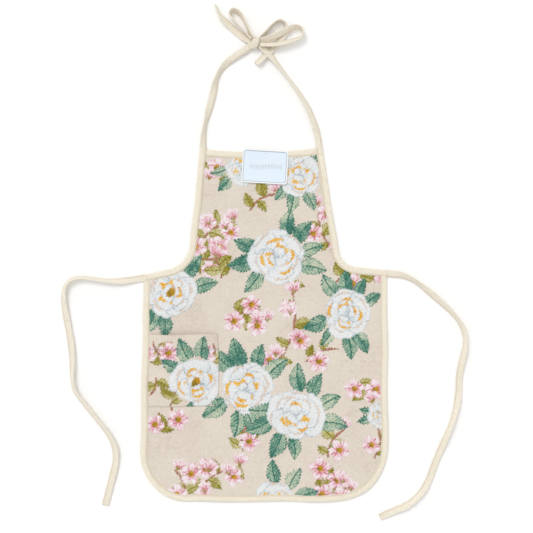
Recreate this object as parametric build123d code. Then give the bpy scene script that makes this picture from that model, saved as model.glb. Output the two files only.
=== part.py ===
from build123d import *
import math
import os

# A child's bib apron, lying face up with its neck ties knotted in a bow. X runs to the right as the front is
# looked at, Y towards the neck, and Z out of the front. The origin is the middle of the bound outline, on the
# surface that the apron lies on. All sizes are in millimetres.

# Cloth, tape and thread
CLOTH = 1.4                # woven chenille of the panel and the pocket
PLY = 0.6                  # one ply of the folded binding tape
TAPE = 9.5                 # finished width of the binding and of the ties
TIE = 1.8                  # thickness of a tie, the same tape folded shut
THREAD = 0.3               # height of a row of stitches
THREAD_WIDTH = 0.6
STITCH_INSET = 8.2         # from the outer edge to the row of stitches
BOUND = CLOTH + 2 * PLY    # thickness of the bound edge
FRONT = PLY + CLOTH        # height of the panel's front face

# Outline of the bound edge: the sides flare a little, and each armhole is one straight, an arc and another
HALF_LENGTH = 247.5
LEFT_NECK = (-89.9, HALF_LENGTH)
LEFT_ARMPIT = (-105.5, 84.0)
LEFT_WAIST = (-168.2, 69.3)
LEFT_ARMPIT_RADIUS = 40.0
RIGHT_NECK = (82.0, HALF_LENGTH)
RIGHT_ARMPIT = (107.0, 82.2)
RIGHT_WAIST = (172.0, 76.3)
RIGHT_ARMPIT_RADIUS = 26.0
LEFT_HEM = (-174.3, -HALF_LENGTH)
LEFT_HEM_RADIUS = 69.0
RIGHT_HEM = (173.3, -HALF_LENGTH)
RIGHT_HEM_RADIUS = 75.0
NECKLINE = [(72.4, 246.6), (12.0, 241.7), (-80.4, 244.8)]   # the bib's top edge, an arc between the ears
RUN_ON = 12.0              # how far a binding's line is drawn past the outline before it is trimmed

# Patch pocket: a sheet that stands off the panel in a low arch, sewn down at both sides and the bottom
POCKET_LEFT = -160.0
POCKET_RIGHT = -63.7
POCKET_TOP = -15.4
POCKET_BOTTOM = -113.4
POCKET_SEAM = 5.0
POCKET_HEM = 19.0          # depth of the turned hem at the mouth
ARCH_AT = [0.0, 68.0, 92.0]        # distances below the mouth
ARCH_RISE = [6.4, 5.6, 0.6]        # clear height of the pocket there

# Hang tag: a card that turns on one plastic pin through the neckline binding
CARD = (64.0, 47.0)
CARD_THICKNESS = 0.5
CARD_CORNER = 4.2
CARD_TURN = -3.4           # degrees about Z
CARD_CENTRE = (1.2, 220.6)
CARD_PLAY = 0.1            # above and below the card
CARD_Z = BOUND + THREAD + CARD_PLAY
PIN_RADIUS = 0.6
PIN_PLAY = 0.08
PIN_DROP = 5.0             # from the card's top edge
PIN_HEAD = 1.3
PIN_HEAD_THICKNESS = 0.5
PIN_BAR = (7.0, 1.1, 0.5)

# Tacks where one tape crosses another, at (x, y, degrees), and the hem stitched at a tie's end
TACK = (6.5, 1.6)
NECK_TACKS = [(-86.9, 239.5, 5), (79.2, 239.5, -8)]
WAIST_TACKS = [(-164.4, 66.3, 103), (168.0, 72.9, 85)]
END_HEM = 5.0

# Joints in the ties
FOLD_CLEARANCE = 0.15      # from the bib's top edge and front to the axis that the neck loop folds about

# The knot, and the levels of what leaves it: tails on the surface, ties above them, loops above the ties
KNOT_CENTRE = (-11.8, 392.8)
KNOT_SIZE = (15.5, 17.0, 10.0)
KNOT_SIDE_RADIUS = 6.0
KNOT_TOP_RADIUS = 3.0
TIES_CROSS_Y = 365.0       # from here up, the neck ties are clear above the tails
TIE_SLOPE = math.degrees(math.atan((TIE + 0.2) / (TIES_CROSS_Y - HALF_LENGTH)))
LOOP_Z = 4.5
LOOP_HEIGHT = 5.0

# Routes of the ties' middle lines. The first point of a tie is where it leaves the binding or the knot.
LEFT_WAIST_ROUTE = [
    (-173.4, 64.2), (-193, 61.0), (-215, 60.2), (-240, 64.0), (-262, 66.5), (-277.5, 57.5), (-280.5, 38),
    (-276.5, 12), (-271, -16), (-267.4, -45), (-268.2, -72), (-265, -93), (-252, -108.5), (-236, -129),
    (-219, -149.5), (-208.5, -168), (-206, -187), (-210.5, -208), (-216.5, -231), (-221.9, -252.7),
]
RIGHT_WAIST_ROUTE = [
    (177.1, 71.2), (194, 69.5), (211, 61.5), (229, 47.5), (247, 32), (264, 16), (278.5, -3), (282.5, -24),
    (277.5, -47), (273.2, -70), (272.6, -94), (268.6, -118), (259.8, -145), (248.8, -170.5), (239, -195),
    (230.5, -219), (218, -238), (200, -253), (181, -260.5), (162.4, -269.5),
]
LEFT_NECK_ROUTE = [
    (-85.3, 246), (-84.9, 263), (-82, 282), (-76.3, 303), (-70.9, 324), (-66.8, 344.5), (-57, 361.5),
    (-41, 374.5), (-28, 382.5), (-16.5, 390.2),
]
RIGHT_NECK_ROUTE = [
    (77.4, 246), (75.5, 262), (70.5, 280), (62, 302), (49.5, 323), (34.5, 343.5), (20, 362), (7.5, 377.5),
    (-6, 391),
]
LEFT_TAIL_ROUTE = [(-16, 394), (-28.5, 400.8), (-41, 411.2), (-53, 422.3), (-63.4, 433), (-67.7, 445.9)]
RIGHT_TAIL_ROUTE = [
    (-6, 397.5), (3, 408), (12, 420), (22.5, 427), (31, 421), (29.5, 408), (22, 395.5), (11, 384.5),
    (-0.5, 374), (-10.4, 363.3),
]
LEFT_LOOP_ROUTE = [
    (-17, 398), (-29.5, 411.5), (-40.5, 424), (-49.5, 434.5), (-44, 443.5), (-33, 436), (-26.5, 422),
    (-21.5, 409), (-14.5, 398.5),
]
RIGHT_LOOP_ROUTE = [
    (-5, 395.8), (8, 398.3), (22, 405), (36, 413.5), (48.5, 418), (57, 410), (53, 400.5), (40.5, 396),
    (26.5, 392), (10.5, 389.4), (-5.5, 390.6),
]


def route_radii(route):
    """The largest tangent arc at each inner point of a route: 0.45 of the shorter run over tan(half turn)."""
    points = [Vector(*p) for p in route]
    radii = []
    for before, here, after in zip(points, points[1:], points[2:]):
        run_in = here - before
        run_out = after - here
        half_turn = math.radians(run_in.get_angle(run_out)) / 2
        radii.append(0.45 * min(run_in.length, run_out.length) / math.tan(half_turn))
    return radii


def route_curve(name, route):
    """A route as straight runs joined by tangent arcs. Prints its length and its radii."""
    radii = route_radii(route)
    curve = FilletPolyline(*route, radius=radii)
    length = sum(edge.length for edge in curve.edges())
    print(f"{name}: {length:.0f} mm, radii " + " ".join(f"{r:.0f}" for r in radii))
    return curve, length


def tape_band(name, route, width, height, low):
    """A tape along a route: width across it in the plane, height along Z, from the level low."""
    curve, length = route_curve(name, route)
    band = Pos(0, 0, low) * extrude(trace(curve, width), height)
    print(f"{name}: volume {band.volume:.0f}, section times length {length * width * height:.0f} mm3")
    return band


def strip(curve, near, far):
    """The face between two distances inside the outline, along one of its counterclockwise stretches."""
    wide = make_face(offset(curve, far, side=Side.LEFT).edges())
    if near == 0:
        return wide
    return wide - make_face(offset(curve, near, side=Side.LEFT).edges())


def beyond(end, before):
    """A point past the end of a straight, so that a strip along it can be trimmed to the outline."""
    return tuple(Vector(*end) + (Vector(*end) - Vector(*before)).normalized() * RUN_ON)[:2]


def outline_face():
    """The bound outline, with an ear at each end of the neckline where a neck tie leaves it."""
    left_ear = [NECKLINE[-1], (NECKLINE[-1][0], HALF_LENGTH), LEFT_NECK]
    right_ear = [RIGHT_NECK, (NECKLINE[0][0], HALF_LENGTH), NECKLINE[0]]
    return make_face(
        ThreePointArc(*NECKLINE).edges()
        + Polyline(*left_ear).edges()
        + FilletPolyline(LEFT_NECK, LEFT_ARMPIT, LEFT_WAIST, radius=LEFT_ARMPIT_RADIUS).edges()
        + side_and_hem_line().edges()
        + FilletPolyline(RIGHT_WAIST, RIGHT_ARMPIT, RIGHT_NECK, radius=RIGHT_ARMPIT_RADIUS).edges()
        + Polyline(*right_ear).edges()
    )


def side_and_hem_line():
    """Down the left side, round the two hem corners and up the right side."""
    radii = [LEFT_HEM_RADIUS, RIGHT_HEM_RADIUS]
    return FilletPolyline(LEFT_WAIST, LEFT_HEM, RIGHT_HEM, RIGHT_WAIST, radius=radii)


def binding_lines():
    """The outer line of each binding, counterclockwise. The armholes run on past the outline."""
    left = [beyond(LEFT_NECK, LEFT_ARMPIT), LEFT_ARMPIT, beyond(LEFT_WAIST, LEFT_ARMPIT)]
    right = [beyond(RIGHT_WAIST, RIGHT_ARMPIT), RIGHT_ARMPIT, beyond(RIGHT_NECK, RIGHT_ARMPIT)]
    return {
        "left_armhole": FilletPolyline(*left, radius=LEFT_ARMPIT_RADIUS),
        "right_armhole": FilletPolyline(*right, radius=RIGHT_ARMPIT_RADIUS),
        "neckline": ThreePointArc(*NECKLINE),
        "side_and_hem": side_and_hem_line(),
    }


def bound_edge(outline, panel):
    """The four bindings, folded round the panel's edge, and a row of stitches along each.
    The armholes' tape laps the ends of the other two."""
    half_row = THREAD_WIDTH / 2
    lines = binding_lines()
    laps = None
    nodes = {}
    for name, line in lines.items():
        tape = strip(line, 0, TAPE) & outline
        row = strip(line, STITCH_INSET - half_row, STITCH_INSET + half_row) & outline
        if "armhole" in name:
            laps = tape if laps is None else laps + tape
        else:
            tape -= laps
            row -= laps
        nodes[f"{name}_binding"] = extrude(tape, BOUND) - panel
        nodes[f"{name}_stitching"] = Pos(0, 0, BOUND) * extrude(row, THREAD)
    return nodes


def corner_tacks(places):
    """Short close rows of thread across the tape, at (x, y, degrees)."""
    tack = extrude(RectangleRounded(TACK[0], TACK[1], TACK[1] / 2.1), THREAD)
    return Compound([(Pos(x, y, BOUND) * Rot(0, 0, turn) * tack).solid() for x, y, turn in places])


def card_place():
    """The card's place in the plane, turned on its pin."""
    return Pos(*CARD_CENTRE, 0) * Rot(0, 0, CARD_TURN)


def tag_pin():
    """A plastic pin: a head on the card, a shank through the card and the cloth, and a bar at the back."""
    head_z = CARD_Z + CARD_THICKNESS + CARD_PLAY
    head = Pos(0, 0, head_z) * extrude(Circle(PIN_HEAD), PIN_HEAD_THICKNESS)
    shank = extrude(Circle(PIN_RADIUS), head_z)
    bar = Pos(0, 0, PIN_BAR[2] / 2) * Box(*PIN_BAR)
    return card_place() * Pos(0, CARD[1] / 2 - PIN_DROP, 0) * (head + shank + bar)


def hang_tag():
    """The card, with the hole that it turns on."""
    card = extrude(RectangleRounded(*CARD, CARD_CORNER), CARD_THICKNESS)
    hole = Pos(0, CARD[1] / 2 - PIN_DROP, 0) * Cylinder(PIN_RADIUS + PIN_PLAY, 4 * CARD_THICKNESS)
    return card_place() * Pos(0, 0, CARD_Z) * (card - hole)


def pocket_section(y, rise, left, right, base):
    """An arched section across the pocket at y: a base of that height, and an arc above it."""
    middle = (left + right) / 2
    edges = [
        Line((left, 0), (right, 0)),
        ThreePointArc((right, base), (middle, base + rise), (left, base)),
    ]
    if base:
        edges += [Line((right, 0), (right, base)), Line((left, base), (left, 0))]
    plane = Plane((0, y, FRONT), x_dir=(1, 0, 0), z_dir=(0, -1, 0))
    return plane * make_face(edges)


def pocket_forms():
    """The pocket's outside, filled in, and the space inside it."""
    outer, inner = [], []
    for down, rise in zip(ARCH_AT, ARCH_RISE):
        y = POCKET_TOP - down
        outer.append(pocket_section(y, rise, POCKET_LEFT, POCKET_RIGHT, CLOTH))
        inner.append(pocket_section(y, rise, POCKET_LEFT + POCKET_SEAM, POCKET_RIGHT - POCKET_SEAM, 0))
    outer.append(pocket_section(POCKET_BOTTOM, ARCH_RISE[-1], POCKET_LEFT, POCKET_RIGHT, CLOTH))
    return loft(outer, ruled=True), loft(inner, ruled=True)


def on_pocket(outside, shape):
    """Thread laid on the pocket's outside over a flat shape."""
    column = extrude(shape, 4 * max(ARCH_RISE))
    return (Pos(0, 0, THREAD) * outside - outside) & column


def pocket_nodes():
    """The pocket sheet, open at the mouth, and the thread that sews it."""
    outside, inside = pocket_forms()
    seam_x = POCKET_RIGHT - POCKET_SEAM / 2
    seam_y = POCKET_BOTTOM + POCKET_SEAM / 2
    down_and_along = FilletPolyline(
        (seam_x, POCKET_TOP - 1), (seam_x, seam_y), (POCKET_LEFT + 1, seam_y), radius=POCKET_SEAM
    )
    hem_y = POCKET_TOP - POCKET_HEM
    across = Line((POCKET_RIGHT - POCKET_SEAM, hem_y), (POCKET_LEFT + 1, hem_y))
    tack_y = POCKET_TOP - TACK[0] / 2 - 1
    tacks = [
        Pos(x, tack_y) * Rectangle(TACK[1], TACK[0])
        for x in (POCKET_RIGHT - POCKET_SEAM, POCKET_LEFT + POCKET_SEAM)
    ]
    return {
        "pocket": outside - inside,
        "pocket_stitching": on_pocket(outside, trace(down_and_along, THREAD_WIDTH)),
        "pocket_hem_stitching": on_pocket(outside, trace(across, THREAD_WIDTH)),
        "pocket_corner_tacks": Compound([on_pocket(outside, tack).solid() for tack in tacks]),
    }


def waist_tie(name, route):
    """A tie lying on the surface, with a round root that turns beside the binding."""
    return tape_band(name, route, TAPE, TIE, 0) + Pos(*route[0]) * extrude(Circle(TAPE / 2), TIE)


def end_stitch(route):
    """A row of stitches across a tie just before its end."""
    end, before = Vector(*route[-1]), Vector(*route[-2])
    back = (before - end).normalized()
    place = end + back * END_HEM
    turn = math.degrees(math.atan2(back.Y, back.X)) + 90
    return Pos(place.X, place.Y, TIE) * Rot(0, 0, turn) * extrude(Rectangle(TAPE - 2, THREAD_WIDTH), THREAD)


def neck_tie(name, route, knot):
    """A tie that rises gently from the bib to the knot, cut square beside the binding."""
    root_y = HALF_LENGTH + 2 * FOLD_CLEARANCE
    below = Pos(0, root_y - HALF_LENGTH / 2, 0) * Box(2 * HALF_LENGTH, HALF_LENGTH, 10 * TIE)
    flat = tape_band(name, route, TAPE, TIE, 0) - below
    hinge_line = Pos(0, HALF_LENGTH, 0)
    return hinge_line * Rot(TIE_SLOPE, 0, 0) * Pos(0, -HALF_LENGTH, 0) * flat - knot


def bow_knot():
    """The knot, a lump with rounded sides and top."""
    lump = Pos(0, 0, KNOT_SIZE[2] / 2) * Box(*KNOT_SIZE)
    lump = fillet(lump.edges().filter_by(Axis.Z), KNOT_SIDE_RADIUS)
    lump = fillet(lump.faces().sort_by(Axis.Z)[-1].edges(), KNOT_TOP_RADIUS)
    return Pos(*KNOT_CENTRE, 0) * lump


def neck_loop():
    """The neck ties, the bow that joins them, and the hems of its tails."""
    knot = bow_knot()
    tails = {"left_bow_tail": LEFT_TAIL_ROUTE, "right_bow_tail": RIGHT_TAIL_ROUTE}
    loops = {"left_bow_loop": LEFT_LOOP_ROUTE, "right_bow_loop": RIGHT_LOOP_ROUTE}
    nodes = {
        "left_neck_tie": neck_tie("left_neck_tie", LEFT_NECK_ROUTE, knot),
        "right_neck_tie": neck_tie("right_neck_tie", RIGHT_NECK_ROUTE, knot),
        "bow_knot": knot,
    }
    for name, route in tails.items():
        nodes[name] = tape_band(name, route, TAPE, TIE, 0) - knot
    for name, route in loops.items():
        nodes[name] = tape_band(name, route, TIE, LOOP_HEIGHT, LOOP_Z) - knot
    nodes["bow_tail_end_stitches"] = Compound([end_stitch(route).solid() for route in tails.values()])
    return nodes


def main():
    os.makedirs("parts", exist_ok=True)
    outline = outline_face()
    whole_panel = Pos(0, 0, PLY) * extrude(offset(outline, -PLY, kind=Kind.INTERSECTION), CLOTH)
    nodes = {"body_panel": whole_panel, **bound_edge(outline, whole_panel)}
    pin = tag_pin()
    for name in ("body_panel", "neckline_binding", "neckline_stitching"):
        nodes[name] -= pin
    nodes["neck_corner_tacks"] = corner_tacks(NECK_TACKS)
    nodes["waist_corner_tacks"] = corner_tacks(WAIST_TACKS)
    nodes.update(pocket_nodes())
    nodes["hang_tag"] = hang_tag()
    nodes["tag_pin"] = pin
    nodes["left_waist_tie"] = waist_tie("left_waist_tie", LEFT_WAIST_ROUTE)
    nodes["right_waist_tie"] = waist_tie("right_waist_tie", RIGHT_WAIST_ROUTE)
    nodes["left_waist_tie_end_stitch"] = end_stitch(LEFT_WAIST_ROUTE)
    nodes["right_waist_tie_end_stitch"] = end_stitch(RIGHT_WAIST_ROUTE)
    nodes.update(neck_loop())
    for name, node in nodes.items():
        export_step(node, f"parts/{name}.step")


main()
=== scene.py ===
import math

import bpy
import numpy as np
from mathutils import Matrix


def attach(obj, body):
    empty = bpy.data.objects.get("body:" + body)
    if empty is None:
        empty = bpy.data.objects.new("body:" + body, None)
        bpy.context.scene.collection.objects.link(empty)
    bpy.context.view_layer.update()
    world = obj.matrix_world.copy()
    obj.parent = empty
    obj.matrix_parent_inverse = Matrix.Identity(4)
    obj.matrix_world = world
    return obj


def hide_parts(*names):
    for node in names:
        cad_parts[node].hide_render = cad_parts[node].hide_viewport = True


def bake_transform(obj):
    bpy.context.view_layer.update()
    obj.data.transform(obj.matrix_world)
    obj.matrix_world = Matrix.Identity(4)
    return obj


# A child's bib apron, lying face up with its neck ties knotted in a bow. Lengths are worked out in
# millimetres, in the frame's own axes, and become metres where a mesh is made.

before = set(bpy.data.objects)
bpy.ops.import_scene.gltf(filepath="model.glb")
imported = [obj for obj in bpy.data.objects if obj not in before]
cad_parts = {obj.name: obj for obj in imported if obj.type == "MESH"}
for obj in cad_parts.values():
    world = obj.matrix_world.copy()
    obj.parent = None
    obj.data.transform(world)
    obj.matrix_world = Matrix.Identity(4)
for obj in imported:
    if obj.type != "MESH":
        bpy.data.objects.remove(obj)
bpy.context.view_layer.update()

MM = 0.001

# The camera's view, in metres: its middle on the floor, and its width
VIEW_CENTRE = (0.0035, 0.0812)
VIEW_WIDTH = 0.7462

# Cloth, tape and thread
CLOTH = 1.4
PLY = 0.6
TAPE = 9.5
TIE = 1.8
BOUND = CLOTH + 2 * PLY
FRONT = PLY + CLOTH
STITCH_INSET = 8.2      # from a binding's outer edge to its row of stitches
EDGE_ROW = -3.55        # from the middle of a tie to its row of stitches
STITCH_PITCH = 3.0
STITCH_LENGTH = 2.2
THREAD_RADIUS = 0.28
TIE_THREAD_RADIUS = 0.22
HOLE = 0.8              # along the tape, to the first hole between two stitches

# The outline of the bound edge
HALF_LENGTH = 247.5
LEFT_NECK = (-89.9, HALF_LENGTH)
LEFT_ARMPIT = (-105.5, 84.0)
LEFT_WAIST = (-168.2, 69.3)
LEFT_ARMPIT_RADIUS = 40.0
RIGHT_NECK = (82.0, HALF_LENGTH)
RIGHT_ARMPIT = (107.0, 82.2)
RIGHT_WAIST = (172.0, 76.3)
RIGHT_ARMPIT_RADIUS = 26.0
LEFT_HEM = (-174.3, -HALF_LENGTH)
LEFT_HEM_RADIUS = 69.0
RIGHT_HEM = (173.3, -HALF_LENGTH)
RIGHT_HEM_RADIUS = 75.0
NECKLINE = [(72.4, 246.6), (12.0, 241.7), (-80.4, 244.8)]
RAW_EDGE = 4.6          # how far inside the outline the panel's cut edge is

# The pocket
POCKET_LEFT = -160.0
POCKET_RIGHT = -63.7
POCKET_TOP = -15.4
POCKET_BOTTOM = -113.4
POCKET_HEM = 19.0
POCKET_SEAM = 2.6
ARCH_AT = [0.0, 68.0, 92.0]
ARCH_RISE = [6.4, 5.6, 0.6]

# The hang tag
CARD = (64.0, 47.0)
CARD_THICKNESS = 0.5
CARD_CORNER = 4.2
CARD_TURN = math.radians(-3.4)
CARD_CENTRE = (1.2, 220.6)
CARD_Z = 3.3            # its back

# A bar tack: length and width
TACK = (6.5, 1.6)

# Ties: each point of a route is (x, y, height of the middle line, roll in degrees). A roll of 0 lies flat,
# and at 90 the tape stands on its edge; below 90 its top edge leans to the left of the way it runs.
LEFT_WAIST_ROUTE = [
    (-173.4, 64.2, 1.3, 0), (-193, 61.0, 0.9, 18), (-215, 60.2, 0.9, 62), (-240, 64.0, 0.9, 70),
    (-262, 66.5, 0.9, 66), (-277.5, 57.5, 0.9, 62), (-280.5, 38, 0.9, 44), (-276.5, 12, 0.9, 8),
    (-271, -16, 0.9, 10), (-267.4, -45, 0.9, 28), (-268.2, -72, 0.9, 56), (-265, -93, 0.9, 54),
    (-252, -108.5, 0.9, 44), (-236, -129, 0.9, 48), (-219, -149.5, 0.9, 44), (-208.5, -168, 0.9, 30),
    (-206, -187, 0.9, 20), (-210.5, -208, 0.9, 14), (-216.5, -231, 0.9, 8), (-221.9, -252.7, 0.9, 0),
]
RIGHT_WAIST_ROUTE = [
    (177.1, 71.2, 1.3, 0), (194, 69.5, 0.9, 24), (211, 61.5, 0.9, 66), (229, 47.5, 0.9, 34),
    (247, 32, 0.9, 30), (264, 16, 0.9, 66), (278.5, -3, 0.9, 52), (282.5, -24, 0.9, 68),
    (277.5, -47, 0.9, 42), (273.2, -70, 0.9, 0), (272.6, -94, 0.9, 4), (268.6, -118, 0.9, 44),
    (259.8, -145, 0.9, 66), (248.8, -170.5, 0.9, 14), (239, -195, 0.9, 0), (230.5, -219, 0.9, 8),
    (218, -238, 0.9, 40), (200, -253, 0.9, 46), (181, -260.5, 0.9, 18), (162.4, -269.5, 0.9, 0),
]
LEFT_NECK_ROUTE = [
    (-85.3, 246, 1.3, 0), (-84.9, 263, 1.3, 48), (-82, 282, 1.5, 68), (-76.3, 303, 1.9, 14),
    (-70.9, 324, 2.2, 0), (-66.8, 344.5, 2.6, 68), (-57, 361.5, 2.9, 44), (-41, 374.5, 3.1, 0),
    (-28, 382.5, 3.3, 0), (-16.5, 390.2, 3.6, 10),
]
RIGHT_NECK_ROUTE = [
    (77.4, 246, 1.3, 0), (75.5, 262, 1.3, 8), (70.5, 280, 1.5, 24), (62, 302, 1.9, 38),
    (49.5, 323, 2.2, 56), (34.5, 343.5, 2.6, 70), (20, 362, 3.3, 62), (7.5, 377.5, 4.2, 16),
    (-6, 391, 4.4, 8),
]
LEFT_TAIL_ROUTE = [
    (-16, 394, 2.6, 24), (-28.5, 400.8, 0.9, 4), (-41, 411.2, 0.9, 0), (-53, 422.3, 0.9, 22),
    (-63.4, 433, 0.9, 66), (-67.7, 445.9, 0.9, 80),
]
RIGHT_TAIL_ROUTE = [
    (-6, 397.5, 2.4, 55), (3, 408, 0.9, 78), (12, 419.5, 0.9, 86), (22.5, 426, 0.9, 88), (31, 420.5, 0.9, 84),
    (29.5, 408, 0.9, 20), (22, 395.5, 0.9, 10), (11, 384.5, 0.9, 10), (-0.5, 374, 0.9, 34),
    (-10.4, 363.3, 0.9, 36),
]
LEFT_LOOP_ROUTE = [
    (-17, 398, 7.0, 66), (-29.5, 411.5, 7.0, 82), (-40.5, 423.5, 6.4, 82), (-49, 432.5, 5.6, 72),
    (-43.5, 440.5, 5.4, 66), (-33, 434.5, 6.0, 66), (-26, 421.5, 6.6, 78), (-21, 409, 7.0, 80),
    (-15, 398.5, 7.0, 66),
]
RIGHT_LOOP_ROUTE = [
    (-5, 395.8, 7.0, 50), (8, 398.3, 7.2, 40), (22, 405, 7.4, 30), (36, 412.5, 7.0, 36), (48, 416.5, 6.0, 66),
    (56, 409.5, 5.4, 84), (52.5, 400.5, 5.8, 66), (40.5, 396, 6.8, 46), (26.5, 392, 7.4, 42),
    (10.5, 389.4, 7.4, 50), (-5.5, 390.6, 7.2, 44),
]
KNOT_CENTRE = (-11.8, 392.8)

# Colours of the yarns, as they look on a screen, from dark to light
GROUND = [(206, 194, 180), (216, 204, 190), (222, 211, 197), (225, 215, 201), (230, 221, 208)]
WHITE = [(164, 176, 184), (194, 202, 207), (214, 218, 220), (224, 227, 227), (233, 233, 232)]
BLUSH = [(196, 166, 146), (212, 190, 174), (226, 212, 200)]
GOLD = [(178, 104, 22), (212, 134, 18), (224, 156, 42), (236, 192, 92)]
HEART = [(120, 104, 26), (156, 128, 34), (206, 150, 48)]
TEAL = [(46, 104, 90), (82, 134, 116), (120, 158, 138), (160, 186, 160), (202, 204, 180)]
OLIVE = [(128, 118, 30), (154, 144, 58), (180, 172, 100), (204, 196, 150)]
PINK = [(198, 96, 116), (218, 148, 162), (230, 188, 198), (236, 214, 219), (239, 232, 234)]
BARK = [(148, 96, 76), (172, 118, 96), (196, 152, 130)]
GREEN = [(58, 124, 100), (98, 156, 124), (150, 190, 140)]

# The print: a loose scatter of roses, leaves and blossom sprays. A rose is (x, y, radius, turn in degrees,
# has an open heart, how many leaves), and a spray is (x, y, way it runs in degrees, length, open blossoms,
# side blossoms, 1 or -1 for the way it bends).
BODY_ROSES = [
    (-30, 220, 26, 35, False, 4), (50, 210, 31, 80, False, 6), (20, 95, 38, 20, False, 7),
    (-130, 45, 37, 60, True, 7), (115, 15, 34, 75, False, 8), (-25, -90, 39, 80, False, 7),
    (45, -125, 39, 40, False, 8), (15, -250, 34, 55, False, 6), (165, -125, 20, 10, False, 5),
]
BODY_SPRAYS = [
    (-90, 110, 35, 60, 3, 3, 1), (-100, 95, 5, 50, 3, 0, -1), (95, 105, 105, 65, 3, 1, 1),
    (-45, 15, -15, 50, 3, 2, 1), (10, -65, 75, 115, 3, 4, -1), (130, -80, -55, 35, 2, 1, 1),
    (-95, -240, 35, 75, 3, 4, 1), (70, -210, -20, 55, 4, 2, -1), (155, 60, 80, 30, 1, 0, 1),
    (155, -185, 90, 50, 1, 1, -1), (-110, -240, 110, 40, 2, 1, -1), (-55, 215, 200, 25, 1, 1, 1),
    (-20, 160, 30, 45, 0, 1, 1), (-150, -150, 60, 45, 2, 0, -1), (60, -50, 20, 45, 1, 0, 1),
    (-60, 65, 110, 30, 0, 1, -1), (90, -185, 60, 45, 1, 1, 1), (-30, -175, 75, 40, 1, 1, 1),
    (130, 70, 200, 30, 1, 0, -1),
]
POCKET_ROSES = [(-95, -80, 35, 115, True, 6)]
POCKET_SPRAYS = [
    (-138, -48, 125, 30, 2, 0, 1), (-130, -112, 85, 35, 0, 0, -1), (-75, -52, 80, 25, 1, 0, -1),
    (-150, -75, 250, 25, 0, 0, 1),
]


def linear(colour):
    """A screen colour of 0 to 255 in scene-linear values."""
    c = np.asarray(colour, float) / 255
    return np.where(c <= 0.04045, c / 12.92, ((c + 0.055) / 1.055) ** 2.4)


def smooth(t):
    t = np.clip(t, 0, 1)
    return t * t * (3 - 2 * t)


# How the whole apron lies

def settle(points):
    """The points of a piece of the bib and skirt, in millimetres, moved to where the soft cloth lies: it
    lifts in low waves between its edges, and its edges wander a little. Nothing moves near the roots of the
    ties."""
    x, y = points[:, 0], points[:, 1]
    away = smooth((205 - y) / 60)
    for root_x, root_y in (LEFT_WAIST, RIGHT_WAIST):
        away = away * smooth((np.hypot(x - root_x, y - root_y) - 25) / 50)
    wave = 0.5 + 0.5 * np.sin(2 * np.pi * (x + 0.35 * y) / 167 + 0.8) * np.cos(2 * np.pi * y / 230)
    ripple = 0.5 + 0.5 * np.sin(2 * np.pi * x / 74 + 1.1)
    hem = smooth((-175 - y) / 60)
    moved = points.copy()
    moved[:, 2] += away * (1.5 * wave * (1 - 0.6 * hem) + 1.2 * hem * ripple)
    moved[:, 0] += away * 0.7 * np.sin(2 * np.pi * y / 118 + 0.02 * x)
    moved[:, 1] += away * 0.7 * np.sin(2 * np.pi * x / 97 + 0.6)
    return moved


# Meshes

def add_object(name, data):
    obj = bpy.data.objects.new(name, data)
    bpy.context.scene.collection.objects.link(obj)
    return obj


def add_mesh(name, vertices, faces, material, rounded=True):
    """A mesh of points in millimetres."""
    mesh = bpy.data.meshes.new(name)
    mesh.from_pydata((np.asarray(vertices) * MM).tolist(), [], faces)
    mesh.polygons.foreach_set("use_smooth", [rounded] * len(mesh.polygons))
    mesh.materials.append(material)
    mesh.update()
    return add_object(name, mesh)


def finish_piece(obj, body, slot, *replaced):
    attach(obj, body)
    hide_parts(*replaced)
    return obj


def point_colours(obj, colours):
    """A colour attribute named picture, from one linear colour for each vertex."""
    layer = obj.data.color_attributes.new("picture", "FLOAT_COLOR", "POINT")
    layer.data.foreach_set("color", np.column_stack([colours, np.ones(len(colours))]).ravel())


def uv_map(obj, along_across):
    """A UV map named tape: millimetres along and across, one pair for each vertex."""
    layer = obj.data.uv_layers.new(name="tape")
    corners = np.empty(len(obj.data.loops), np.int32)
    obj.data.loops.foreach_get("vertex_index", corners)
    layer.data.foreach_set("uv", np.asarray(along_across)[corners].ravel())


def tube_faces(rings, sides, closed=False):
    """The quads of a swept closed section, with an end face at each open end."""
    faces = []
    for i in range(rings if closed else rings - 1):
        here, there = i * sides, ((i + 1) % rings) * sides
        for k in range(sides):
            after = (k + 1) % sides
            faces.append((here + k, here + after, there + after, there + k))
    if not closed:
        faces.append(tuple(reversed(range(sides))))
        faces.append(tuple((rings - 1) * sides + k for k in range(sides)))
    return faces


def joined(parts):
    """The points and faces of several parts as one."""
    points, faces, before = [], [], 0
    for part_points, part_faces in parts:
        points.append(part_points)
        faces += [tuple(v + before for v in face) for face in part_faces]
        before += len(part_points)
    return np.concatenate(points), faces


# Lines

def unit(v):
    return v / np.maximum(np.linalg.norm(v, axis=-1, keepdims=True), 1e-12)


def distances(points):
    """How far along a line of points each of them is."""
    return np.concatenate([[0], np.cumsum(np.linalg.norm(np.diff(points, axis=0), axis=1))])


def at_distances(wanted, at, points):
    """The places at some distances along a line of points."""
    return np.stack([np.interp(wanted, at, column) for column in points.T], axis=1)


def resampled(points, step=1.0):
    """Points an even step apart along a line of points."""
    at = distances(points)
    even = np.linspace(0, at[-1], max(2, int(round(at[-1] / step)) + 1))
    return at_distances(even, at, points)


def even_line(places):
    """A line of even points through places that are given as complex numbers."""
    places = np.array(places)
    return resampled(np.column_stack([places.real, places.imag]))


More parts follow.
